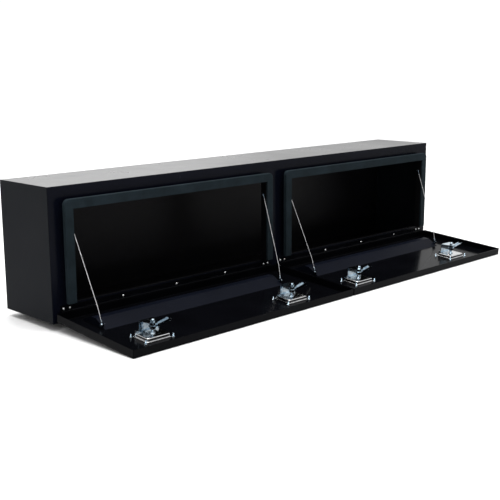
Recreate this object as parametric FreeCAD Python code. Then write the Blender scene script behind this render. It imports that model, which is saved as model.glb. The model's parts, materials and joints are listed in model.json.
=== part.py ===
import FreeCAD, Part
import math
import os

# Steel truck tool box with two drop-down doors. Millimetres, +Z up.
# Origin: centre of the base. +X runs along the box, the front faces -Y.
# The doors lie open, held by their cables a little below level.

V = FreeCAD.Vector

# Body
LENGTH = 2235.0
HEIGHT = 483.0
DEPTH = 305.0
SHEET = 2.0
EDGE_ROUND = 1.2

# Collars and seals round the two door openings
COLLAR_END_GAP = 46.5
COLLAR_MIDDLE_GAP = 81.0
COLLAR_TOP_GAP = 44.5
COLLAR_BOTTOM = 70.0
COLLAR_STAND = 28.0
SILL_HEIGHT = 66.0
SILL_LIP = 15.0
SEAL_BAND = 34.0
SEAL_THICK = 7.4
SEAL_WRAP = 8.0
SEAL_EDGE = 2.0
SEAL_CORNER = 20.0
SEAL_ROUND = 3.0

# Doors: shallow pans of folded sheet
DOOR_MARGIN = 7.6
DOOR_GAP = 4.0
DOOR_THICK = 30.0
DOOR_SHEET = 1.9
DOOR_BEND = 3.0
DROOP = 4.64

# Hinges
HINGE_HEIGHT = 39.0
HINGE_STAND = 8.0
HINGE_TO_DOOR = 6.6
HINGE_END_GAP = 25.0
LEAF_SHEET = 1.6
LEAF_RISE = 21.0
LEAF_DROP = 24.0
BODY_WEB_TOE = ((-1.0, 3.8), (0.9, 2.3))
BODY_WEB_HEEL = (3.8, 5.0)
DOOR_WEB_TOE = ((-3.0, -2.4), (-1.4, -3.6))
DOOR_WEB_HEEL = (-9.0, -6.4)
DOOR_WEB_BITE = 0.4
DOOR_LEAF_TOP = -3.0
KNUCKLE_RADIUS = 4.0
KNUCKLE_PITCH = 50.0
KNUCKLE_GAP = 0.5
PIN_RADIUS = 2.0
RUN_CLEARANCE = 0.05
RIVET_RADIUS = 2.4
RIVET_HEAD = 4.0
RIVET_DOME = 2.2
RIVET_TAIL = 3.2
RIVET_TAIL_HIGH = 2.0
RIVET_LINE = 9.2
RIVET_END = 38.0
RIVET_PAIR = 25.4
RIVET_PITCH = 260.0
RIVET_SHIFT = {"left": 5.0, "right": 44.0}

# Door stiffener: a pressed hat section
STIFF_NEAR = 37.0
STIFF_SLOPE = 54.0
STIFF_TOP = 26.0
STIFF_RISE = 26.5
STIFF_SHEET = 1.5
STIFF_EAR = 9.0

# Stay cables and their bolts
CABLE_RADIUS = 1.2
CABLE_UP = 350.0
CABLE_FORWARD = 13.0
CABLE_OUT = 154.0
CABLE_RISE = 14.5
CABLE_LEFT = 84.0
CABLE_RIGHT = 127.0
CABLE_KINK = 52.0
CABLE_SAG = 8.0
CABLE_ARC_SHARE = 0.45
EYE_RADIUS = 5.5
EYE_THICK = 5.0
EYE_HOLE = 2.6
EYE_PLAY = 0.6
SLEEVE_RADIUS = 2.4
SLEEVE_LENGTH = 18.0
BOLT_RADIUS = 2.5
BOLT_HEAD = 4.6
BOLT_HEAD_HIGH = 3.0
BOLT_NUT = 8.0
BOLT_NUT_HIGH = 4.0
BOLT_SPARE = 1.0

# Latches
LATCH_LEFT = 172.0
LATCH_RIGHT = 240.0
DISH_X = 100.0
DISH_Y = 76.0
DISH_RISE = 15.0
DISH_SHEET = 1.5
DISH_CORNER = 9.0
DISH_ROUND = 3.0
DISH_STEP = 4.0
DISH_STEP_RISE = 4.5
DISH_STEP_ROUND = 1.8
HOLE_CLEARANCE = 0.5
FLANGE_X = 136.0
FLANGE_Y = 104.0
FLANGE_CORNER = 10.0
GASKET = 1.0
GASKET_INSET = 1.0
STUD_X = 60.0
STUD_Y = 40.0
STUD_RADIUS = 2.5
STUD_RISE = 13.0
STUD_NUT = 4.4
STUD_NUT_HIGH = 4.0
STUD_CLEAR = 1.0
SPINDLE_RADIUS = 5.0
SPINDLE_TOP = 38.0
SPINDLE_COLLAR = 10.5
SPINDLE_COLLAR_HIGH = 3.0
END_PLAY = 0.2
HUB_RADIUS = 9.0
HUB_HIGH = 12.0
HUB_ROOF = 2.5
SPINDLE_CHAMFER = 0.8
BRACKET_WIDE = 62.0
BRACKET_NOSE = 26.0
BRACKET_SHEET = 2.5
BRACKET_HIGH = 41.0
BRACKET_FOOT = 12.0
BRACKET_SPAN = 94.0
BRACKET_TAB = 9.0
BRACKET_REACH = 14.0
BRACKET_TIP_ROUND = 7.0
BRACKET_BEND = 2.0
PAWL_LEVEL = 10.0
PAWL_SHEET = 3.5
PAWL_HUB = 13.0
PAWL_FLAT = 28.0
PAWL_REACH = 76.0
PAWL_RISE = 10.0
PAWL_WIDE = 20.0
PAWL_EDGE = 2.5
PAWL_EDGE_HIGH = 5.0
PAWL_EDGE_GAP = 2.0
PAWL_EDGE_RAMP = 4.0
PAWL_EDGE_LEAD = 1.0
PAWL_TIP_BACK = 3.0
PAWL_TIP_FALL = 2.0
PAWL_TIP_EASE = 0.5
NUT_FLATS = 19.0
NUT_HIGH = 9.0
TOP_NUT_FLATS = 14.0
TOP_NUT_HIGH = 6.0
NUT_TRIM = 0.4
HANDLE_PIVOT = 6.5
HANDLE_REACH = 21.0
HANDLE_BAR = 4.0
HANDLE_HALF = 23.0
HANDLE_STEM = 8.0
HANDLE_STEM_HIGH = 6.0
HANDLE_PIN = 1.5
HANDLE_PIN_SHORT = 0.5
HANDLE_BAR_ROUND = 2.8

# Worked out from the values above
FRONT = -DEPTH / 2
END = LENGTH / 2
DOOR_WIDE = (LENGTH - 2 * DOOR_MARGIN - DOOR_GAP) / 2
DOOR_REACH = HEIGHT - DOOR_MARGIN - HINGE_HEIGHT - HINGE_TO_DOOR
DOOR_END = HINGE_TO_DOOR + DOOR_REACH
DOOR_FLOOR = -DOOR_THICK + DOOR_SHEET
CABLE_LEVEL = DOOR_FLOOR + CABLE_RISE
HINGE_Y = FRONT - HINGE_STAND
DOOR_LEFT = {"left": -END + DOOR_MARGIN, "right": DOOR_GAP / 2}
COLLAR_WIDE = (LENGTH - 2 * COLLAR_END_GAP - COLLAR_MIDDLE_GAP) / 2
COLLAR_LEFT = {"left": -END + COLLAR_END_GAP, "right": COLLAR_MIDDLE_GAP / 2}
COLLAR_TOP = HEIGHT - COLLAR_TOP_GAP
OPENING_TOP = COLLAR_TOP - SEAL_BAND
STUD_CORNER = 2 * STUD_NUT / math.sqrt(3)
LATCH_OUT = OPENING_TOP - HINGE_HEIGHT - STUD_CLEAR - STUD_CORNER - STUD_Y
DISH_TOP = DOOR_FLOOR + DISH_RISE
STEP_TOP = DOOR_FLOOR + DISH_STEP_RISE
FLANGE_LEVEL = -DOOR_THICK - GASKET
BRACKET_TOP = DISH_TOP + BRACKET_HIGH
SIDES = ("left", "right")


def box(x0, x1, y0, y1, z0, z1):
    return Part.makeBox(x1 - x0, y1 - y0, z1 - z0, V(x0, y0, z0))


def rod(start, direction, radius, length):
    return Part.makeCylinder(radius, length, V(*start), V(*direction))


def prism(corners, way):
    """Extrudes a closed outline of points by the vector way."""
    points = [V(*corner) for corner in corners]
    return Part.Face(Part.makePolygon(points + points[:1])).extrude(V(*way))


def hexagon(centre, flats, high):
    """A hexagon nut blank standing along +Z on its centre."""
    radius = flats / math.sqrt(3)
    turns = [math.radians(60 * step) for step in range(6)]
    corners = [(centre[0] + radius * math.cos(turn), centre[1] + radius * math.sin(turn), centre[2])
               for turn in turns]
    return prism(corners, (0, 0, high))


def edges_along(shape, axis, test):
    """The straight edges of a shape along one axis whose middle passes the test."""
    found = []
    for edge in shape.Edges:
        if len(edge.Vertexes) == 2:
            run = edge.Vertexes[1].Point - edge.Vertexes[0].Point
            if abs(run.dot(V(*axis))) > 0.999 * run.Length and test(edge.CenterOfMass):
                found.append(edge)
    return found


def write(node, *solids):
    shape = solids[0] if len(solids) == 1 else Part.makeCompound(list(solids))
    shape.exportStep("parts/" + node + ".step")


def on_door(shape, side):
    """Takes a shape from the door's own frame to its open place.

    The door's frame has its origin on the hinge axis at the door's left end,
    X along the hinge, -Y out to the front edge and Z up from the outer skin.
    """
    placed = shape.copy()
    placed.rotate(V(0, 0, 0), V(1, 0, 0), DROOP)
    placed.translate(V(DOOR_LEFT[side], HINGE_Y, HINGE_HEIGHT))
    return placed


def door_point(side, x, out, up):
    tilt = math.radians(DROOP)
    y = -out * math.cos(tilt) - up * math.sin(tilt)
    z = -out * math.sin(tilt) + up * math.cos(tilt)
    return V(DOOR_LEFT[side] + x, HINGE_Y + y, HINGE_HEIGHT + z)


# Body shell

def rivet_places(side):
    """Rivet positions along a hinge from the door's left end: a pair at each end, three between."""
    second = RIVET_END + RIVET_PAIR
    middle = DOOR_WIDE / 2 + RIVET_SHIFT[side]
    return [RIVET_END, second, middle - RIVET_PITCH, middle, middle + RIVET_PITCH,
            DOOR_WIDE - second, DOOR_WIDE - RIVET_END]


def opening_span(side):
    """Inner faces of the collar's two side walls."""
    left = COLLAR_LEFT[side] + SEAL_BAND
    return left, COLLAR_LEFT[side] + COLLAR_WIDE - SEAL_BAND


def make_end_panel(sign):
    outer = sign * END
    inner = sign * (END - SHEET)
    panel = box(min(outer, inner), max(outer, inner), FRONT, -FRONT, 0, HEIGHT)
    rim = [edge for edge in panel.Edges if abs(edge.CenterOfMass.x - outer) < 0.01]
    return panel.makeFillet(EDGE_ROUND, rim)


def make_back():
    inside = END - SHEET
    back = box(-inside, inside, -FRONT - SHEET, -FRONT, 0, HEIGHT)
    rim = edges_along(back, (1, 0, 0), lambda middle: middle.y > -FRONT - 0.01)
    return back.makeFillet(EDGE_ROUND, rim)


def make_deck(bottom):
    inside = END - SHEET
    return box(-inside, inside, FRONT + SHEET, -FRONT - SHEET, bottom, bottom + SHEET)


def make_front_panel():
    inside = END - SHEET
    panel = box(-inside, inside, FRONT, FRONT + SHEET, 0, HEIGHT)
    rim = edges_along(panel, (1, 0, 0), lambda middle: middle.y < FRONT + 0.01)
    panel = panel.makeFillet(EDGE_ROUND, rim)
    for side in SIDES:
        left, right = opening_span(side)
        hole = box(left - SHEET, right + SHEET, FRONT - 1, FRONT + SHEET + 1,
                   SILL_HEIGHT - SHEET, OPENING_TOP + SHEET)
        panel = panel.cut(hole)
        for place in rivet_places(side):
            start = (DOOR_LEFT[side] + place, FRONT - 1, HINGE_HEIGHT + RIVET_LINE)
            panel = panel.cut(rod(start, (0, 1, 0), RIVET_RADIUS, SHEET + 2))
    return panel


def arch(left, right, bottom, top, corner, front, thick):
    """An upright plate with its two upper corners rounded, from front into +Y."""
    plate = box(left, right, front, front + thick, bottom, top)
    uppers = edges_along(plate, (0, 1, 0), lambda middle: middle.z > top - 0.01)
    return plate.makeFillet(corner, uppers)


def make_collar(side):
    left, right = opening_span(side)
    edge = SEAL_EDGE
    face = FRONT - COLLAR_STAND
    flange = arch(COLLAR_LEFT[side] + edge, COLLAR_LEFT[side] + COLLAR_WIDE - edge,
                  COLLAR_BOTTOM, COLLAR_TOP - edge, SEAL_CORNER - edge, face, SHEET)
    walls = box(left - SHEET, right + SHEET, face, FRONT + SHEET,
                SILL_HEIGHT - SHEET, OPENING_TOP + SHEET)
    sill = box(left, right, FRONT, FRONT + SILL_LIP, SILL_HEIGHT - SHEET, SILL_HEIGHT)
    through = box(left, right, face - 1, FRONT + SHEET + 1, SILL_HEIGHT - SHEET - 1, OPENING_TOP)
    collar = flange.fuse(walls).cut(through).fuse(sill).removeSplitter()
    for point in (upper_bolt(side, "left"), upper_bolt(side, "right")):
        collar = collar.cut(rod((point.x - 10, point.y, point.z), (1, 0, 0), BOLT_RADIUS, 20))
    return collar


def make_seal(side):
    left, right = opening_span(side)
    face = FRONT - COLLAR_STAND
    edge = SEAL_EDGE
    block = arch(COLLAR_LEFT[side], COLLAR_LEFT[side] + COLLAR_WIDE, COLLAR_BOTTOM, COLLAR_TOP,
                 SEAL_CORNER, face - SEAL_THICK, SEAL_THICK + SEAL_WRAP)
    front_rim = [item for item in block.Edges
                 if abs(item.CenterOfMass.y - face + SEAL_THICK) < 0.01
                 and item.CenterOfMass.z > COLLAR_BOTTOM + 1]
    block = block.makeFillet(SEAL_ROUND, front_rim)
    flange = arch(COLLAR_LEFT[side] + edge, COLLAR_LEFT[side] + COLLAR_WIDE - edge,
                  COLLAR_BOTTOM - 1, COLLAR_TOP - edge, SEAL_CORNER - edge, face, SEAL_WRAP + 1)
    through = box(left, right, face - SEAL_THICK - 1, face + 1, COLLAR_BOTTOM - 1, OPENING_TOP)
    return block.cut(flange).cut(through)


# Hinges

def hinge_span():
    return HINGE_END_GAP, DOOR_WIDE - HINGE_END_GAP


def knuckle_spans(first):
    """Every second knuckle along the hinge, starting with number first."""
    start, stop = hinge_span()
    count = int((stop - start) // KNUCKLE_PITCH)
    pitch = (stop - start) / count
    return [(start + pitch * step + KNUCKLE_GAP / 2, start + pitch * (step + 1) - KNUCKLE_GAP / 2)
            for step in range(first, count, 2)]


def make_leaf(first, plate, web):
    """A hinge leaf in a frame on the hinge axis: its plate, webs and knuckles."""
    leaf = plate
    bore = PIN_RADIUS + RUN_CLEARANCE
    barrels = []
    for start, stop in knuckle_spans(first):
        barrels.append(rod((start, 0, 0), (1, 0, 0), KNUCKLE_RADIUS, stop - start))
        barrels.append(prism([(start, y, z) for y, z in web], (stop - start, 0, 0)))
    leaf = leaf.fuse(barrels)
    return leaf.cut(rod((0, 0, 0), (1, 0, 0), bore, DOOR_WIDE)).removeSplitter()


def make_body_leaf(side):
    start, stop = hinge_span()
    wall = HINGE_STAND
    plate = box(start, stop, wall - LEAF_SHEET, wall, KNUCKLE_RADIUS, LEAF_RISE)
    web = [*BODY_WEB_TOE, *[(wall, level) for level in BODY_WEB_HEEL]]
    leaf = make_leaf(0, plate, web)
    for place in rivet_places(side):
        leaf = leaf.cut(rod((place, 0, RIVET_LINE), (0, 1, 0), RIVET_RADIUS, wall + 1))
    leaf.translate(V(DOOR_LEFT[side], HINGE_Y, HINGE_HEIGHT))
    return leaf


def make_door_leaf(side):
    start, stop = hinge_span()
    near = -HINGE_TO_DOOR
    plate = box(start, stop, near, near + LEAF_SHEET, -LEAF_DROP, DOOR_LEAF_TOP)
    web = [*DOOR_WEB_TOE, *[(near + DOOR_WEB_BITE, level) for level in DOOR_WEB_HEEL]]
    leaf = make_leaf(1, plate, web)
    return on_door(leaf, side)


def make_pin(side):
    start, stop = hinge_span()
    return rod((DOOR_LEFT[side] + start, HINGE_Y, HINGE_HEIGHT), (1, 0, 0), PIN_RADIUS, stop - start)


def make_rivet(grip, point, way):
    """A domed blind rivet: head at the point, shank along way, upset tail behind the grip."""
    ball = (RIVET_HEAD ** 2 + RIVET_DOME ** 2) / (2 * RIVET_DOME)
    dome = Part.makeSphere(ball, V(0, 0, ball - RIVET_DOME), V(0, 0, 1), -90, 90, 360)
    dome = dome.common(box(-RIVET_HEAD, RIVET_HEAD, -RIVET_HEAD, RIVET_HEAD, -RIVET_DOME, 0))
    shank = rod((0, 0, -0.5), (0, 0, 1), RIVET_RADIUS, grip + 0.5)
    tail = rod((0, 0, grip), (0, 0, 1), RIVET_TAIL, RIVET_TAIL_HIGH)
    rivet = dome.fuse([shank, tail])
    rivet.Placement = FreeCAD.Placement(V(*point), FreeCAD.Rotation(V(0, 0, 1), V(*way)))
    return rivet


def make_body_rivets():
    rivets = []
    for side in SIDES:
        for place in rivet_places(side):
            point = (DOOR_LEFT[side] + place, FRONT - LEAF_SHEET, HINGE_HEIGHT + RIVET_LINE)
            rivets.append(make_rivet(LEAF_SHEET + SHEET, point, (0, 1, 0)))
    return rivets


# Doors

def latch_places():
    return LATCH_LEFT, DOOR_WIDE - LATCH_RIGHT


def lower_bolts():
    """Cable bolts on a door: x of the eye, the stiffener end beside it, and its way out."""
    half = EYE_THICK / 2
    right = DOOR_WIDE - CABLE_RIGHT
    return (CABLE_LEFT, CABLE_LEFT + half, -1), (right, right - half, 1)


def make_pan(side):
    outer = box(0, DOOR_WIDE, -DOOR_END, -HINGE_TO_DOOR, -DOOR_THICK, 0)
    lower = [edge for edge in outer.Edges if abs(edge.CenterOfMass.z + DOOR_THICK) < 0.01]
    uprights = edges_along(outer, (0, 0, 1), lambda middle: True)
    outer = outer.makeFillet(DOOR_BEND, lower + uprights)
    inner = box(DOOR_SHEET, DOOR_WIDE - DOOR_SHEET, -DOOR_END + DOOR_SHEET,
                -HINGE_TO_DOOR - DOOR_SHEET, DOOR_FLOOR, 1)
    lower = [edge for edge in inner.Edges if abs(edge.CenterOfMass.z - DOOR_FLOOR) < 0.01]
    uprights = edges_along(inner, (0, 0, 1), lambda middle: True)
    pan = outer.cut(inner.makeFillet(DOOR_BEND - DOOR_SHEET, lower + uprights))
    for place in latch_places():
        half_x = DISH_X / 2 + DISH_STEP + HOLE_CLEARANCE
        half_y = DISH_Y / 2 + DISH_STEP + HOLE_CLEARANCE
        hole = box(place - half_x, place + half_x, -LATCH_OUT - half_y, -LATCH_OUT + half_y,
                   -DOOR_THICK - 1, DOOR_FLOOR + 1)
        corners = edges_along(hole, (0, 0, 1), lambda middle: True)
        pan = pan.cut(hole.makeFillet(DISH_CORNER + HOLE_CLEARANCE, corners))
        for x, y in stud_places(place):
            pan = pan.cut(rod((x, y, -DOOR_THICK - 1), (0, 0, 1), STUD_RADIUS, DOOR_SHEET + 2))
    return on_door(pan, side)


def hat(x0, x1, inset):
    """The stiffener's outline extruded from x0 to x1, drawn in by inset."""
    slope_length = math.hypot(STIFF_SLOPE, STIFF_RISE)
    side_in = inset * slope_length / STIFF_RISE
    top_in = inset * (slope_length - STIFF_SLOPE) / STIFF_RISE
    near = STIFF_NEAR
    far = near + 2 * STIFF_SLOPE + STIFF_TOP
    top = DOOR_FLOOR + STIFF_RISE - inset
    outline = [(x0, -(near + side_in), DOOR_FLOOR), (x0, -(near + STIFF_SLOPE + top_in), top),
               (x0, -(far - STIFF_SLOPE - top_in), top), (x0, -(far - side_in), DOOR_FLOOR)]
    return prism(outline, (x1 - x0, 0, 0))


def make_stiffener(side):
    (_, left, _), (_, right, _) = lower_bolts()
    body = hat(left, right, 0)
    hollow = hat(left + STIFF_SHEET, right - STIFF_SHEET, STIFF_SHEET)
    hollow.translate(V(0, 0, -0.01))
    body = body.cut(hollow)
    for _, wall, way in lower_bolts():
        ear = rod((wall, -CABLE_OUT, CABLE_LEVEL), (-way, 0, 0), STIFF_EAR, STIFF_SHEET)
        bore = rod((wall + way, -CABLE_OUT, CABLE_LEVEL), (-way, 0, 0), BOLT_RADIUS, STIFF_SHEET + 2)
        body = body.fuse(ear).cut(bore)
    return on_door(body.removeSplitter(), side)


# Stay cables

def upper_bolt(side, end):
    """Where the cable's upper eye is centred, beside the collar's wall."""
    left, right = opening_span(side)
    half = EYE_THICK / 2
    x = left + half if end == "left" else right - half
    return V(x, FRONT - CABLE_FORWARD, CABLE_UP)


def lower_bolt(side, end):
    x = lower_bolts()[0 if end == "left" else 1][0]
    return door_point(side, x, CABLE_OUT, CABLE_LEVEL)


def cable_route(side, end):
    """Eye centre, upper sleeve end, the kink, lower sleeve end, eye centre."""
    high = upper_bolt(side, end)
    low = lower_bolt(side, end)
    down = (low - high).normalize()
    aside = V(0, down.z, -down.y).normalize()
    kink = low - down * CABLE_KINK + aside * CABLE_SAG
    upper = high + (kink - high).normalize() * SLEEVE_LENGTH
    lower = low + (kink - low).normalize() * SLEEVE_LENGTH
    return high, upper, kink, lower, low


def make_cable(side, end):
    """A straight run, one tangent arc at the kink and a short straight run."""
    _, upper, kink, lower, _ = cable_route(side, end)
    come = (kink - upper).normalize()
    go = (lower - kink).normalize()
    turn = come.getAngle(go)
    shorter = min((kink - upper).Length, (lower - kink).Length)
    setback = CABLE_ARC_SHARE * shorter
    radius = setback / math.tan(turn / 2)
    start_arc = kink - come * setback
    end_arc = kink + go * setback
    bisector = (go - come).normalize()
    centre_way = radius / math.cos(turn / 2)
    middle = kink + bisector * (centre_way - radius)
    path = Part.Wire([Part.LineSegment(upper, start_arc).toShape(),
                      Part.Arc(start_arc, middle, end_arc).toShape(),
                      Part.LineSegment(end_arc, lower).toShape()])
    section = Part.Wire([Part.Circle(upper, come, CABLE_RADIUS).toShape()])
    tube = path.makePipeShell([section], True, False)
    ideal = math.pi * CABLE_RADIUS ** 2 * path.Length
    print(side, end, "cable length %.1f radius %.0f volume ratio %.4f"
          % (path.Length + 2 * SLEEVE_LENGTH, radius, tube.Volume / ideal))
    return tube


def make_eye(centre, toward):
    """A flat ring on the bolt with a crimped sleeve along the cable."""
    way = (toward - centre).normalize()
    ring = rod((centre.x - EYE_THICK / 2, centre.y, centre.z), (1, 0, 0), EYE_RADIUS, EYE_THICK)
    clear = BOLT_HEAD + EYE_PLAY
    sleeve = Part.makeCylinder(SLEEVE_RADIUS, SLEEVE_LENGTH - clear, centre + way * clear, way)
    hole = rod((centre.x - 5, centre.y, centre.z), (1, 0, 0), EYE_HOLE, 10)
    return ring.fuse(sleeve).cut(hole)


def make_upper_eyes():
    routes = [cable_route(side, end) for side in SIDES for end in SIDES]
    return [make_eye(high, kink) for high, _, kink, _, _ in routes]


def make_lower_eyes(side):
    routes = [cable_route(side, end) for end in SIDES]
    return [make_eye(low, kink) for _, _, kink, _, low in routes]


def bolt_and_nut(head, way, wall):
    """A button-head bolt from head along way, through a wall, and the nut behind the wall."""
    x, y, z = head
    nut_face = abs(wall - x)
    shank = nut_face + BOLT_NUT_HIGH + BOLT_SPARE
    bolt = rod(head, (way, 0, 0), BOLT_HEAD, BOLT_HEAD_HIGH).fuse(rod(head, (way, 0, 0), BOLT_RADIUS, shank))
    nut = hexagon((0, 0, 0), BOLT_NUT, BOLT_NUT_HIGH)
    nut = nut.cut(rod((0, 0, 0), (0, 0, 1), BOLT_RADIUS, BOLT_NUT_HIGH))
    turn = FreeCAD.Rotation(V(0, 0, 1), V(way, 0, 0))
    nut.Placement = FreeCAD.Placement(V(wall, y, z), turn)
    return [bolt, nut]


def make_upper_bolts():
    """Through each side wall of the collars, with the nut between collar and body."""
    pieces = []
    for side in SIDES:
        for end, way in (("left", -1), ("right", 1)):
            centre = upper_bolt(side, end)
            head = centre.x - way * (EYE_THICK / 2 + BOLT_HEAD_HIGH)
            wall = centre.x + way * (EYE_THICK / 2 + SHEET)
            pieces += bolt_and_nut((head, centre.y, centre.z), way, wall)
    return pieces


def make_lower_bolts(side):
    """Through each end wall of the stiffener, with the nut inside it."""
    pieces = []
    for x, wall, way in lower_bolts():
        head = (x + way * (EYE_THICK / 2 + BOLT_HEAD_HIGH), -CABLE_OUT, CABLE_LEVEL)
        pieces += bolt_and_nut(head, -way, wall - way * STIFF_SHEET)
    return [on_door(piece, side) for piece in pieces]


# Latches, each built round its spindle in the door's frame

def stud_places(place):
    return [(place + sx * STUD_X, -LATCH_OUT + sy * STUD_Y) for sx in (-1, 1) for sy in (-1, 1)]


def rounded_block(place, size_x, size_y, low, high, corner):
    block = box(place - size_x / 2, place + size_x / 2, -LATCH_OUT - size_y / 2,
                -LATCH_OUT + size_y / 2, low, high)
    return block.makeFillet(corner, edges_along(block, (0, 0, 1), lambda middle: True))


def top_edges(block, level):
    return [edge for edge in block.Edges if abs(edge.CenterOfMass.z - level) < 0.01]


def make_dish(place):
    """A pressed stainless dish: flange outside the door, stepped recess rising into the pan."""
    under = FLANGE_LEVEL - DISH_SHEET
    wall = 2 * DISH_SHEET
    grow = 2 * DISH_STEP
    flange = rounded_block(place, FLANGE_X, FLANGE_Y, under, FLANGE_LEVEL, FLANGE_CORNER)
    step = rounded_block(place, DISH_X + grow, DISH_Y + grow, under, STEP_TOP, DISH_CORNER)
    step = step.makeFillet(DISH_STEP_ROUND, top_edges(step, STEP_TOP))
    block = rounded_block(place, DISH_X, DISH_Y, under, DISH_TOP, DISH_CORNER)
    block = block.makeFillet(DISH_ROUND, top_edges(block, DISH_TOP))
    low = under - 1
    hollow = rounded_block(place, DISH_X + grow - wall, DISH_Y + grow - wall, low,
                           STEP_TOP - DISH_SHEET, DISH_CORNER - DISH_SHEET)
    recess = rounded_block(place, DISH_X - wall, DISH_Y - wall, low, DISH_TOP - DISH_SHEET,
                           DISH_CORNER - DISH_SHEET)
    recess = recess.makeFillet(DISH_ROUND - DISH_SHEET, top_edges(recess, DISH_TOP - DISH_SHEET))
    dish = flange.fuse([step, block]).cut(hollow).cut(recess)
    bore = SPINDLE_RADIUS + RUN_CLEARANCE
    dish = dish.cut(rod((place, -LATCH_OUT, DISH_TOP - 5), (0, 0, 1), bore, 10))
    for x, y in stud_places(place):
        dish = dish.cut(rod((x, y, FLANGE_LEVEL - 5), (0, 0, 1), STUD_RADIUS, 10))
    return dish


def make_gasket(place):
    inset = 2 * GASKET_INSET
    ring = rounded_block(place, FLANGE_X - inset, FLANGE_Y - inset, FLANGE_LEVEL, -DOOR_THICK,
                         FLANGE_CORNER - GASKET_INSET)
    inset += 2 * DISH_STEP
    hole = rounded_block(place, DISH_X + inset, DISH_Y + inset, FLANGE_LEVEL - 1, -DOOR_THICK + 1,
                         DISH_CORNER)
    ring = ring.cut(hole)
    for x, y in stud_places(place):
        ring = ring.cut(rod((x, y, FLANGE_LEVEL - 1), (0, 0, 1), STUD_RADIUS, GASKET + 2))
    return ring


def make_studs(place):
    """Weld studs from the dish's flange through the skin, each with a nut."""
    pieces = []
    for x, y in stud_places(place):
        base = FLANGE_LEVEL - DISH_SHEET
        pieces.append(rod((x, y, base), (0, 0, 1), STUD_RADIUS, DOOR_FLOOR + STUD_RISE - base))
        nut = hexagon((x, y, DOOR_FLOOR), STUD_NUT * 2, STUD_NUT_HIGH)
        pieces.append(nut.cut(rod((x, y, DOOR_FLOOR), (0, 0, 1), STUD_RADIUS, STUD_NUT_HIGH)))
    return pieces


def make_bracket(place):
    """A zinc bracket: feet on the dish, upright behind the spindle, tapered plate over it."""
    half = BRACKET_WIDE / 2
    nose = BRACKET_NOSE / 2
    span = BRACKET_SPAN / 2
    rear = -LATCH_OUT + DISH_Y / 2 - DISH_ROUND
    tip = -LATCH_OUT - BRACKET_REACH
    sheet = BRACKET_SHEET
    foot = box(place - span, place + span, rear - BRACKET_FOOT, rear, DISH_TOP, DISH_TOP + sheet)
    upright = box(place - half, place + half, rear - sheet, rear, DISH_TOP, BRACKET_TOP)
    outline = [(place - half, rear), (place - half, rear - BRACKET_FOOT), (place - nose, tip),
               (place + nose, tip), (place + half, rear - BRACKET_FOOT), (place + half, rear)]
    plate = prism([(x, y, BRACKET_TOP - sheet) for x, y in outline], (0, 0, sheet))
    bracket = upright.fuse([foot, plate]).removeSplitter()
    tips = edges_along(bracket, (0, 0, 1), lambda middle: middle.y < tip + 0.1)
    bend = edges_along(bracket, (1, 0, 0),
                       lambda middle: middle.z > BRACKET_TOP - 0.1 and middle.y > rear - 0.1)
    bracket = bracket.makeFillet(BRACKET_TIP_ROUND, tips).makeFillet(BRACKET_BEND, bend)
    for end in (-span, span - sheet):
        tab = box(place + end, place + end + sheet, rear - BRACKET_FOOT, rear,
                  DISH_TOP, DISH_TOP + BRACKET_TAB)
        bracket = bracket.fuse(tab)
    bore = SPINDLE_RADIUS + RUN_CLEARANCE
    bracket = bracket.cut(rod((place, -LATCH_OUT, BRACKET_TOP - 10), (0, 0, 1), bore, 20))
    return bracket.removeSplitter()


def make_spindle(place):
    """The spindle with its thrust collar above the dish and slotted hub below."""
    centre = -LATCH_OUT
    top = DISH_TOP - DISH_SHEET - END_PLAY
    hub = rod((place, centre, top - HUB_HIGH), (0, 0, 1), HUB_RADIUS, HUB_HIGH)
    half = HANDLE_STEM / 2 + RUN_CLEARANCE
    slot = box(place - HUB_RADIUS, place + HUB_RADIUS, centre - half, centre + half,
               top - HUB_HIGH - 1, top - HUB_ROOF)
    pivot = top - HANDLE_PIVOT
    cross = rod((place, centre - HUB_RADIUS, pivot), (0, 1, 0), HANDLE_PIN, 2 * HUB_RADIUS)
    shaft = rod((place, centre, top - 1), (0, 0, 1), SPINDLE_RADIUS, SPINDLE_TOP - top + 1)
    tip = [edge for edge in shaft.Edges if edge.CenterOfMass.z > SPINDLE_TOP - 0.1]
    shaft = shaft.makeChamfer(SPINDLE_CHAMFER, tip[:1])
    collar = rod((place, centre, DISH_TOP + END_PLAY), (0, 0, 1), SPINDLE_COLLAR, SPINDLE_COLLAR_HIGH)
    return hub.cut(slot).cut(cross).fuse([shaft, collar])


def make_nuts(place):
    """Hexagon nuts below and above the pawl, and a smaller one over the bracket."""
    centre = -LATCH_OUT
    sizes = ((PAWL_LEVEL - NUT_HIGH, NUT_FLATS, NUT_HIGH),
             (PAWL_LEVEL + PAWL_SHEET, NUT_FLATS, NUT_HIGH),
             (BRACKET_TOP + END_PLAY, TOP_NUT_FLATS, TOP_NUT_HIGH))
    nuts = []
    for level, flats, high in sizes:
        nut = hexagon((place, centre, level), flats, high)
        crown = rod((place, centre, level), (0, 0, 1), flats / math.sqrt(3) - NUT_TRIM, high)
        cone = Part.makeCone(flats, flats / 2, flats / 2, V(place, centre, level))
        nut = nut.common(crown).common(cone)
        nuts.append(nut.cut(rod((place, centre, level), (0, 0, 1), SPINDLE_RADIUS, high)))
    return nuts


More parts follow.
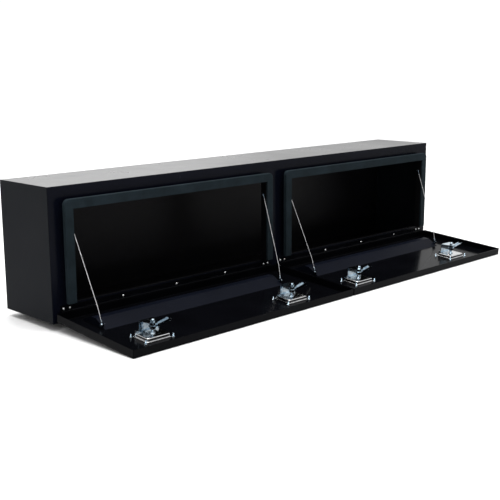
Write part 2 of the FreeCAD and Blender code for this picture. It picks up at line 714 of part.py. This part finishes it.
def make_pawl(place):
    """A pressed channel arm that climbs away from its hub."""
    centre = -LATCH_OUT
    low = PAWL_LEVEL
    high = low + PAWL_SHEET
    half = PAWL_WIDE / 2
    bend = place + PAWL_FLAT
    end = place + PAWL_REACH
    side = [(place, low), (bend, low), (end, low + PAWL_RISE), (end, high + PAWL_RISE),
            (bend, high), (place, high)]
    arm = prism([(x, centre - half, z) for x, z in side], (0, PAWL_WIDE, 0))
    pawl = arm.fuse(rod((place, centre, low), (0, 0, 1), PAWL_HUB, PAWL_SHEET))
    start = place + NUT_FLATS / math.sqrt(3) + PAWL_EDGE_GAP
    rise = high + PAWL_EDGE_HIGH
    tip = rise + PAWL_RISE
    edge = [(start, low), (bend, low), (end, low + PAWL_RISE), (end, tip - PAWL_TIP_FALL),
            (end - PAWL_TIP_BACK, tip - PAWL_TIP_EASE), (bend - PAWL_EDGE_GAP, rise),
            (start + PAWL_EDGE_RAMP, rise), (start, high + PAWL_EDGE_LEAD)]
    for offset in (-half, half - PAWL_EDGE):
        pawl = pawl.fuse(prism([(x, centre + offset, z) for x, z in edge], (0, PAWL_EDGE, 0)))
    return pawl.cut(rod((place, centre, low - 5), (0, 0, 1), SPINDLE_RADIUS, 30)).removeSplitter()


def handle_level():
    return DISH_TOP - DISH_SHEET - END_PLAY - HANDLE_PIVOT


def make_handle(place):
    """A T-handle folded flat in the dish, hinged on the spindle's hub."""
    centre = -LATCH_OUT
    level = handle_level()
    half = HANDLE_STEM / 2
    high = HANDLE_STEM_HIGH / 2
    stem = box(place, place + HANDLE_REACH, centre - half, centre + half, level - high, level + high)
    knuckle = rod((place, centre - half, level), (0, 1, 0), high, HANDLE_STEM)
    bar = rod((place + HANDLE_REACH, centre - HANDLE_HALF, level), (0, 1, 0), HANDLE_BAR, 2 * HANDLE_HALF)
    bar = bar.makeFillet(HANDLE_BAR_ROUND, [edge for edge in bar.Edges if edge.Closed])
    handle = stem.fuse([knuckle, bar]).removeSplitter()
    bore = HANDLE_PIN + RUN_CLEARANCE
    return handle.cut(rod((place, centre - HUB_RADIUS, level), (0, 1, 0), bore, 2 * HUB_RADIUS))


def make_handle_pin(place):
    start = (place, -LATCH_OUT - HUB_RADIUS + HANDLE_PIN_SHORT, handle_level())
    return rod(start, (0, 1, 0), HANDLE_PIN, 2 * (HUB_RADIUS - HANDLE_PIN_SHORT))


def build_body():
    write("left_end_panel", make_end_panel(-1))
    write("right_end_panel", make_end_panel(1))
    write("back_panel", make_back())
    write("top_panel", make_deck(HEIGHT - SHEET))
    write("bottom_panel", make_deck(0))
    write("front_panel", make_front_panel())
    write("hinge_rivets_body", *make_body_rivets())
    write("cable_upper_bolts", *make_upper_bolts())
    write("cable_upper_eyes", *make_upper_eyes())
    write("collar_seals", *[make_seal(side) for side in SIDES])
    write("hinge_body_leaves", *[make_body_leaf(side) for side in SIDES])
    write("hinge_pins", *[make_pin(side) for side in SIDES])
    for side in SIDES:
        write(side + "_collar", make_collar(side))


def build_door(side):
    write(side + "_door_pan", make_pan(side))
    write(side + "_door_stiffener", make_stiffener(side))
    write(side + "_hinge_door_leaf", make_door_leaf(side))
    write(side + "_cable_lower_bolts", *make_lower_bolts(side))
    write(side + "_cable_lower_eyes", *make_lower_eyes(side))
    for end in SIDES:
        write(side + "_door_" + end + "_cable", make_cable(side, end))
    places = latch_places()
    write(side + "_latch_gaskets", *[on_door(make_gasket(place), side) for place in places])
    write(side + "_latch_brackets", *[on_door(make_bracket(place), side) for place in places])
    studs = [piece for place in places for piece in make_studs(place)]
    write(side + "_latch_studs", *[on_door(piece, side) for piece in studs])


def build_latches():
    number = 0
    for side in SIDES:
        for place in latch_places():
            number += 1
            name = "latch_%d_" % number
            write(name + "dish", on_door(make_dish(place), side))
            write(name + "spindle", on_door(make_spindle(place), side))
            write(name + "nuts", *[on_door(nut, side) for nut in make_nuts(place)])
            write(name + "pawl", on_door(make_pawl(place), side))
            write(name + "handle", on_door(make_handle(place), side))
            write(name + "handle_pin", on_door(make_handle_pin(place), side))


os.makedirs("parts", exist_ok=True)
build_body()
for door in SIDES:
    build_door(door)
build_latches()
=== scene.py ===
import json
import math

import bpy
from mathutils import Matrix, Vector


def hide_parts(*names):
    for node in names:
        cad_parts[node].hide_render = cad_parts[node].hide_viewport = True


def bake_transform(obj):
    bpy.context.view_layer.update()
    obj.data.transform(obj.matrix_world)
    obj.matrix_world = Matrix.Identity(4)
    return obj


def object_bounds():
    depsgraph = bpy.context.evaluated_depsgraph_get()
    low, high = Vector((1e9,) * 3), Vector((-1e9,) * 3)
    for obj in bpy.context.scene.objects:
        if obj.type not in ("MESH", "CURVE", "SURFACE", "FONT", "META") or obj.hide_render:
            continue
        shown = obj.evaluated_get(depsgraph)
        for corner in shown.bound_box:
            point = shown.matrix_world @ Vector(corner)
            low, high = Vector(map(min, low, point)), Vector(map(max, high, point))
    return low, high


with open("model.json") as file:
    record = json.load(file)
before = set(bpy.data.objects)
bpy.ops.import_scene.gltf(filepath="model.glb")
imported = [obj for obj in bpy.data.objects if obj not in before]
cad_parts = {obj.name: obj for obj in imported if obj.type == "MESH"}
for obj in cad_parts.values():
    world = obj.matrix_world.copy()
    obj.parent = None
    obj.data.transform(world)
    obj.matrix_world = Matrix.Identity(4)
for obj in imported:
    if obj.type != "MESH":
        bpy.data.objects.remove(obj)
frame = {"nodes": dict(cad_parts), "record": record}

CAD_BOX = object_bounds()
NODES = frame["nodes"]
MM = 0.001

# The stay cables' route, in millimetres, with the same sizes as in the part's source
CABLE_RADIUS = 1.2 * MM
DROOP = math.radians(4.64)
SIDES = ("left", "right")

LENGTH = 2235.0
FRONT = -152.5
COLLAR_END_GAP = 46.5
COLLAR_MIDDLE_GAP = 81.0
SEAL_BAND = 34.0
DOOR_MARGIN = 7.6
DOOR_GAP = 4.0
DOOR_FLOOR = -28.1
HINGE_HEIGHT = 39.0
HINGE_STAND = 8.0
CABLE_UP = 350.0
CABLE_FORWARD = 13.0
CABLE_OUT = 154.0
CABLE_RISE = 14.5
CABLE_LEFT = 84.0
CABLE_RIGHT = 127.0
CABLE_KINK = 52.0
CABLE_SAG = 8.0
EYE_THICK = 5.0
SLEEVE_LENGTH = 18.0


# ---------------------------------------------------------------- shader help

class Nodes:
    """A material under construction, with short calls for its nodes."""

    def __init__(self, name):
        self.material = bpy.data.materials.new(name)
        self.material.use_nodes = True
        self.tree = self.material.node_tree
        self.shader = self.tree.nodes["Principled BSDF"]
        self.place = self.add("ShaderNodeTexCoord").outputs["Object"]

    def add(self, kind, **values):
        node = self.tree.nodes.new(kind)
        for key, value in values.items():
            setattr(node, key, value)
        return node

    def link(self, source, target):
        self.tree.links.new(source, target)

    def stretched(self, scale):
        """The object's coordinates, scaled apart along X, Y and Z."""
        mapping = self.add("ShaderNodeMapping")
        mapping.inputs["Scale"].default_value = scale
        self.link(self.place, mapping.inputs["Vector"])
        return mapping.outputs["Vector"]

    def noise(self, scale, detail=3.0, roughness=0.55, vector=None):
        node = self.add("ShaderNodeTexNoise")
        node.inputs["Scale"].default_value = scale
        node.inputs["Detail"].default_value = detail
        node.inputs["Roughness"].default_value = roughness
        self.link(vector or self.place, node.inputs["Vector"])
        return node.outputs["Fac"]

    def ramp(self, value, low, high, start, stop):
        """Maps value from low..high to start..stop, clamped."""
        node = self.add("ShaderNodeMapRange")
        node.inputs["From Min"].default_value = low
        node.inputs["From Max"].default_value = high
        node.inputs["To Min"].default_value = start
        node.inputs["To Max"].default_value = stop
        self.link(value, node.inputs["Value"])
        return node.outputs["Result"]

    def blend_colour(self, factor, first, second):
        node = self.add("ShaderNodeMix", data_type="RGBA")
        self.link(factor, node.inputs["Factor"])
        node.inputs[6].default_value = (*first, 1)
        node.inputs[7].default_value = (*second, 1)
        return node.outputs[2]

    def bump(self, height, strength, distance, under=None):
        node = self.add("ShaderNodeBump")
        node.inputs["Strength"].default_value = strength
        node.inputs["Distance"].default_value = distance
        self.link(height, node.inputs["Height"])
        if under is not None:
            self.link(under, node.inputs["Normal"])
        return node.outputs["Normal"]

    def set(self, **values):
        for key, value in values.items():
            self.shader.inputs[key.replace("_", " ")].default_value = value

    def feed(self, **values):
        for key, value in values.items():
            self.link(value, self.shader.inputs[key.replace("_", " ")])


# ------------------------------------------------------------------ materials

EDGE_SOFTNESS = 1.2 * MM
THREAD_PITCH = 1.25 * MM
WAVE_BANDS = 20 / (2 * math.pi)


def powder_coat(name, dark, light, rough, grain, depth, specular):
    """Black powder coat: orange peel, uneven gloss, settled dust and softened sheet edges."""
    m = Nodes(name)
    wide = m.noise(3.2, 4.0, 0.6)
    fine = m.noise(grain, 2.0, 0.5)
    speckle = m.noise(grain * 2.3, 1.0, 0.4)
    m.feed(Base_Color=m.blend_colour(m.ramp(wide, 0.35, 0.75, 0.0, 1.0), dark, light))
    m.feed(Roughness=m.ramp(wide, 0.3, 0.72, *rough))
    soft = m.add("ShaderNodeBevel", samples=3)
    soft.inputs["Radius"].default_value = EDGE_SOFTNESS
    broad = m.bump(fine, 0.35, depth, soft.outputs["Normal"])
    m.feed(Normal=m.bump(speckle, 0.2, depth * 0.4, broad))
    m.set(Specular_IOR_Level=specular)
    return m.material


def rubber():
    m = Nodes("seal_rubber")
    grain = m.noise(900.0, 3.0, 0.6)
    wide = m.noise(14.0, 3.0, 0.6)
    dark = (0.008, 0.013, 0.016)
    light = (0.013, 0.020, 0.025)
    m.feed(Base_Color=m.blend_colour(m.ramp(wide, 0.35, 0.7, 0.0, 1.0), dark, light))
    m.feed(Roughness=m.ramp(wide, 0.3, 0.7, 0.72, 0.88))
    m.feed(Normal=m.bump(grain, 0.4, 0.0002))
    m.set(Specular_IOR_Level=0.05)
    return m.material


def plated(name, dark, light, rough, brush, depth, thread_pitch):
    """Plated or bare metal: brushed grain, uneven plating, and a thread where it has a pitch."""
    m = Nodes(name)
    grain = m.noise(220.0, 2.0, 0.5, m.stretched(brush))
    cloud = m.noise(60.0, 3.0, 0.6)
    m.feed(Base_Color=m.blend_colour(m.ramp(cloud, 0.35, 0.7, 0.0, 1.0), dark, light))
    m.feed(Roughness=m.ramp(cloud, 0.3, 0.7, *rough))
    normal = m.bump(grain, 0.3, depth)
    if thread_pitch:
        turned = m.add("ShaderNodeMapping")
        turned.inputs["Rotation"].default_value = (DROOP, 0, 0)
        m.link(m.place, turned.inputs["Vector"])
        wave = m.add("ShaderNodeTexWave", wave_type="BANDS", bands_direction="Z")
        wave.inputs["Scale"].default_value = 1 / (WAVE_BANDS * thread_pitch)
        m.link(turned.outputs["Vector"], wave.inputs["Vector"])
        normal = m.bump(wave.outputs["Fac"], 0.8, thread_pitch * 0.6, normal)
    m.feed(Normal=normal)
    m.set(Metallic=1.0)
    return m.material


# Dark and light colour, roughness range, grain scale, grain depth in metres, specular level
COATS = {
    "textured_black": ((0.0040, 0.0050, 0.0068), (0.0058, 0.0070, 0.0094), (0.50, 0.62), 620.0, 0.0006, 0.05),
    # The top panel's colour is painted lighter than the other body blacks: painted light falling from above.
    # Its lower roughness and higher specular level are the coat's own gloss.
    "top_black_painted_light": ((0.012, 0.012, 0.013), (0.017, 0.017, 0.019), (0.26, 0.36), 620.0, 0.00025, 0.62),
    "face_black": ((0.0020, 0.0026, 0.0056), (0.0032, 0.0040, 0.0086), (0.20, 0.30), 420.0, 0.00015, 0.04),
    "gloss_black": ((0.0012, 0.0013, 0.0018), (0.0022, 0.0024, 0.0034), (0.10, 0.20), 260.0, 0.00008, 0.025),
    "inside_black": ((0.0030, 0.0030, 0.0036), (0.0055, 0.0055, 0.0070), (0.32, 0.44), 420.0, 0.0002, 0.06),
    "satin_black": ((0.0026, 0.0034, 0.0066), (0.0042, 0.0053, 0.0100), (0.38, 0.48), 420.0, 0.0002, 0.03),
    "collar_black": ((0.0030, 0.0030, 0.0034), (0.0048, 0.0048, 0.0056), (0.38, 0.48), 420.0, 0.0002, 0.05),
}

# Dark and light colour, roughness range, brush stretch, brush depth in metres, thread pitch
ZINC = ((0.40, 0.50, 0.58), (0.68, 0.76, 0.82), (0.07, 0.17), (1, 1, 1), 0.0001)
METALS = {
    "zinc": (*ZINC, 0.0),
    "threaded_zinc": (*ZINC, THREAD_PITCH),
    "stainless": ((0.50, 0.50, 0.51), (0.68, 0.68, 0.68), (0.10, 0.18), (0.15, 6, 6), 0.00006, 0.0),
    "bright_rivet": ((0.92, 0.92, 0.93), (0.98, 0.98, 0.98), (0.38, 0.50), (1, 1, 1), 0.0001, 0.0),
    "steel_cable": ((0.78, 0.78, 0.80), (0.95, 0.95, 0.96), (0.30, 0.44), (1, 1, 1), 0.0001, 0.0),
}


def make_materials():
    made = {name: powder_coat(name, *values) for name, values in COATS.items()}
    made.update({name: plated(name, *values) for name, values in METALS.items()})
    made["seal_rubber"] = rubber()
    return made


# Nodes whose finish differs from the one that their slot names
OWN_FINISH = {
    # The top panel takes the lighter black, which holds painted light from above.
    "top_panel": "top_black_painted_light", "front_panel": "face_black", "back_panel": "inside_black",
    "bottom_panel": "inside_black", "left_collar": "collar_black", "right_collar": "collar_black",
    **{side + "_latch_studs": "threaded_zinc" for side in SIDES},
    **{f"latch_{number}_spindle": "threaded_zinc" for number in range(1, 5)},
}


def finish_cad_nodes(materials):
    """Each CAD node takes its own finish, or the one that its slot in the record names."""
    for row in frame["record"]["subparts"]:
        finish = OWN_FINISH.get(row["node"], row["material_slot"])
        mesh = NODES[row["node"]].data
        mesh.materials.clear()
        mesh.materials.append(materials[finish])


# --------------------------------------------------------------- mesh helpers

def mesh_object(name, points, faces, material, smooth=True):
    mesh = bpy.data.meshes.new(name)
    mesh.from_pydata([tuple(point) for point in points], [], faces)
    mesh.update()
    mesh.materials.append(material)
    if smooth:
        mesh.polygons.foreach_set("use_smooth", [True] * len(mesh.polygons))
    thing = bpy.data.objects.new(name, mesh)
    bpy.context.scene.collection.objects.link(thing)
    return thing


def spline_points(route):
    """Points read from the smooth line that a route's points control."""
    curve = bpy.data.curves.new("route", "CURVE")
    curve.dimensions = "3D"
    curve.resolution_u = 16
    spline = curve.splines.new("NURBS")
    spline.points.add(len(route) - 1)
    for point, place in zip(spline.points, route):
        point.co = (*place, 1)
    spline.order_u = 3
    spline.use_endpoint_u = True
    thing = bpy.data.objects.new("route", curve)
    bpy.context.scene.collection.objects.link(thing)
    mesh = bpy.data.meshes.new_from_object(thing)
    points = [vertex.co.copy() for vertex in mesh.vertices]
    bpy.data.objects.remove(thing)
    bpy.data.meshes.remove(mesh)
    return points


# ------------------------------------------------------------- stay cables

STRANDS = 7
STRAND_DEPTH = 0.16
RING_POINTS = 28
LAY_LENGTH = 22 * MM
STEP = 2.5 * MM


def even_points(points, step):
    """The same line walked in equal steps."""
    walked = [points[0]]
    for start, stop in zip(points, points[1:]):
        count = max(1, round((stop - start).length / step))
        walked += [start.lerp(stop, (index + 1) / count) for index in range(count)]
    return walked


def stranded_tube(name, line, radius, material):
    """A tube whose section is a ring of strands that twists along the line."""
    points = []
    travelled = 0.0
    for index, centre in enumerate(line):
        before = line[max(index - 1, 0)]
        after = line[min(index + 1, len(line) - 1)]
        along = (after - before).normalized()
        across = along.cross(Vector((1, 0, 0))).normalized()
        other = along.cross(across)
        travelled += (centre - before).length
        twist = 2 * math.pi * travelled / LAY_LENGTH
        for step in range(RING_POINTS):
            turn = 2 * math.pi * step / RING_POINTS
            groove = abs(math.sin(STRANDS * (turn - twist) / 2))
            reach = radius * (1 - STRAND_DEPTH * (1 - groove))
            points.append(centre + reach * (math.cos(turn) * across + math.sin(turn) * other))
    faces = []
    for ring in range(len(line) - 1):
        for step in range(RING_POINTS):
            following = (step + 1) % RING_POINTS
            low = ring * RING_POINTS
            high = low + RING_POINTS
            faces.append((low + step, low + following, high + following, high + step))
    faces.append(tuple(reversed(range(RING_POINTS))))
    last = (len(line) - 1) * RING_POINTS
    faces.append(tuple(range(last, last + RING_POINTS)))
    return mesh_object(name, points, faces, material)


def on_door(side, x, out, up):
    """A point in the door's own frame: along the hinge, outward and up from the skin."""
    left = {"left": -LENGTH / 2 + DOOR_MARGIN, "right": DOOR_GAP / 2}[side]
    y = FRONT - HINGE_STAND - out * math.cos(DROOP) - up * math.sin(DROOP)
    z = HINGE_HEIGHT - out * math.sin(DROOP) + up * math.cos(DROOP)
    return Vector((left + x, y, z))


def cable_route(side, end):
    """Upper sleeve end, the kink and lower sleeve end, worked out as in the part's source."""
    collar = (LENGTH - 2 * COLLAR_END_GAP - COLLAR_MIDDLE_GAP) / 2
    door = (LENGTH - 2 * DOOR_MARGIN - DOOR_GAP) / 2
    left = {"left": -LENGTH / 2 + COLLAR_END_GAP, "right": COLLAR_MIDDLE_GAP / 2}[side]
    inset = SEAL_BAND + EYE_THICK / 2
    inner = {"left": left + inset, "right": left + collar - inset}[end]
    high = Vector((inner, FRONT - CABLE_FORWARD, CABLE_UP))
    place = {"left": CABLE_LEFT, "right": door - CABLE_RIGHT}[end]
    low = on_door(side, place, CABLE_OUT, DOOR_FLOOR + CABLE_RISE)
    down = (low - high).normalized()
    aside = Vector((0, down.z, -down.y)).normalized()
    kink = low - down * CABLE_KINK + aside * CABLE_SAG
    upper = high + (kink - high).normalized() * SLEEVE_LENGTH
    lower = low + (kink - low).normalized() * SLEEVE_LENGTH
    beside = kink + (upper - kink).normalized() * (lower - kink).length
    return [point * MM for point in (upper, beside, kink, lower)]


def make_cables(material):
    for side in SIDES:
        for end in SIDES:
            node = f"{side}_door_{end}_cable"
            line = even_points(spline_points(cable_route(side, end)), STEP)
            cable = stranded_tube(f"{side}_{end}_stay", line, CABLE_RADIUS, material)
            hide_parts(node)
            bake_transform(cable)


# ---------------------------------------------------------- stage and camera

FLOOR_COLOURS = ((0.86, 0.86, 0.86), (0.84, 0.84, 0.84))
FLOOR_HALF = 14.0
FLOOR_ROUGHNESS = 0.9
CAMERA_PLACE = Vector((-2.8387, -2.8547, 0.9144))
CAMERA_AHEAD = Vector((0.6913, 0.6933, -0.2038))
CAMERA_RIGHT = Vector((0.7074, -0.7068, -0.0047))
CAMERA_LENS = 66.95
CAMERA_SENSOR = 36.0

# The studio light: how bright the world is from the camera's side to behind the object,
# then one soft lamp from straight above and three panels of (place, target, size, power)
WORLD_AXIS = (0.66, 0.66, 0.35)
WORLD_RAMP = {"From Min": -0.55, "From Max": 0.35, "To Min": 0.22, "To Max": 1.06}
SKY_STRENGTH = 1.6
SKY_SPREAD = math.radians(60)
PANELS = {
    "overhead": ((-0.4, -0.6, 3.6), (0, -0.2, 0), (3.4, 2.6), 120),
    "rear": ((1.4, 3.4, 2.6), (0, 0, 0.3), (3.0, 1.2), 45),
    "front_left": ((-3.6, -2.2, 1.5), (-0.6, -0.4, 0.1), (0.5, 1.4), 9),
}


def make_stage():
    low = CAD_BOX[0][2]
    half = FLOOR_HALF
    corners = [(-half, -half, low), (half, -half, low), (half, half, low), (-half, half, low)]
    m = Nodes("floor")
    speck = m.noise(2.0, 3.0, 0.5)
    m.feed(Base_Color=m.blend_colour(speck, *FLOOR_COLOURS))
    m.set(Roughness=FLOOR_ROUGHNESS)
    floor = mesh_object("floor", corners, [(0, 1, 2, 3)], m.material, smooth=False)


def area_light(name, place, target, size, power):
    lamp = bpy.data.lights.new(name, "AREA")
    lamp.shape = "RECTANGLE"
    lamp.size, lamp.size_y = size
    lamp.energy = power
    thing = bpy.data.objects.new(name, lamp)
    bpy.context.scene.collection.objects.link(thing)
    thing.location = place
    thing.rotation_euler = (Vector(target) - Vector(place)).to_track_quat("-Z", "Y").to_euler()


def make_world():
    """White behind the object and overhead, dimmer on the camera's side."""
    world = bpy.data.worlds.new("studio")
    world.use_nodes = True
    tree = world.node_tree
    background = tree.nodes["Background"]
    place = tree.nodes.new("ShaderNodeTexCoord")
    along = tree.nodes.new("ShaderNodeVectorMath")
    along.operation = "DOT_PRODUCT"
    along.inputs[1].default_value = WORLD_AXIS
    ramp = tree.nodes.new("ShaderNodeMapRange")
    ramp.interpolation_type = "SMOOTHSTEP"
    for name, value in WORLD_RAMP.items():
        ramp.inputs[name].default_value = value
    tree.links.new(place.outputs["Generated"], along.inputs[0])
    tree.links.new(along.outputs["Value"], ramp.inputs["Value"])
    tree.links.new(ramp.outputs["Result"], background.inputs["Strength"])
    background.inputs["Color"].default_value = (1, 1, 1, 1)
    bpy.context.scene.world = world


def make_lights():
    for name, values in PANELS.items():
        area_light(name, *values)
    sky = bpy.data.lights.new("sky", "SUN")
    sky.energy = SKY_STRENGTH
    sky.angle = SKY_SPREAD
    bpy.context.scene.collection.objects.link(bpy.data.objects.new("sky", sky))


def make_camera():
    data = bpy.data.cameras.new("camera")
    data.sensor_width = CAMERA_SENSOR
    data.lens = CAMERA_LENS
    camera = bpy.data.objects.new("camera", data)
    ahead = CAMERA_AHEAD.normalized()
    right = (CAMERA_RIGHT - CAMERA_RIGHT.dot(ahead) * ahead).normalized()
    up = right.cross(ahead)
    turn = Matrix((right, up, -ahead)).transposed()
    camera.matrix_world = Matrix.Translation(CAMERA_PLACE) @ turn.to_4x4()
    bpy.context.scene.collection.objects.link(camera)
    bpy.context.scene.camera = camera


# --------------------------------------------------------------------- build

make_camera()
make_stage()
make_world()
make_lights()
materials = make_materials()
finish_cad_nodes(materials)
make_cables(materials["steel_cable"])
bpy.context.scene.view_settings.view_transform = "Standard"
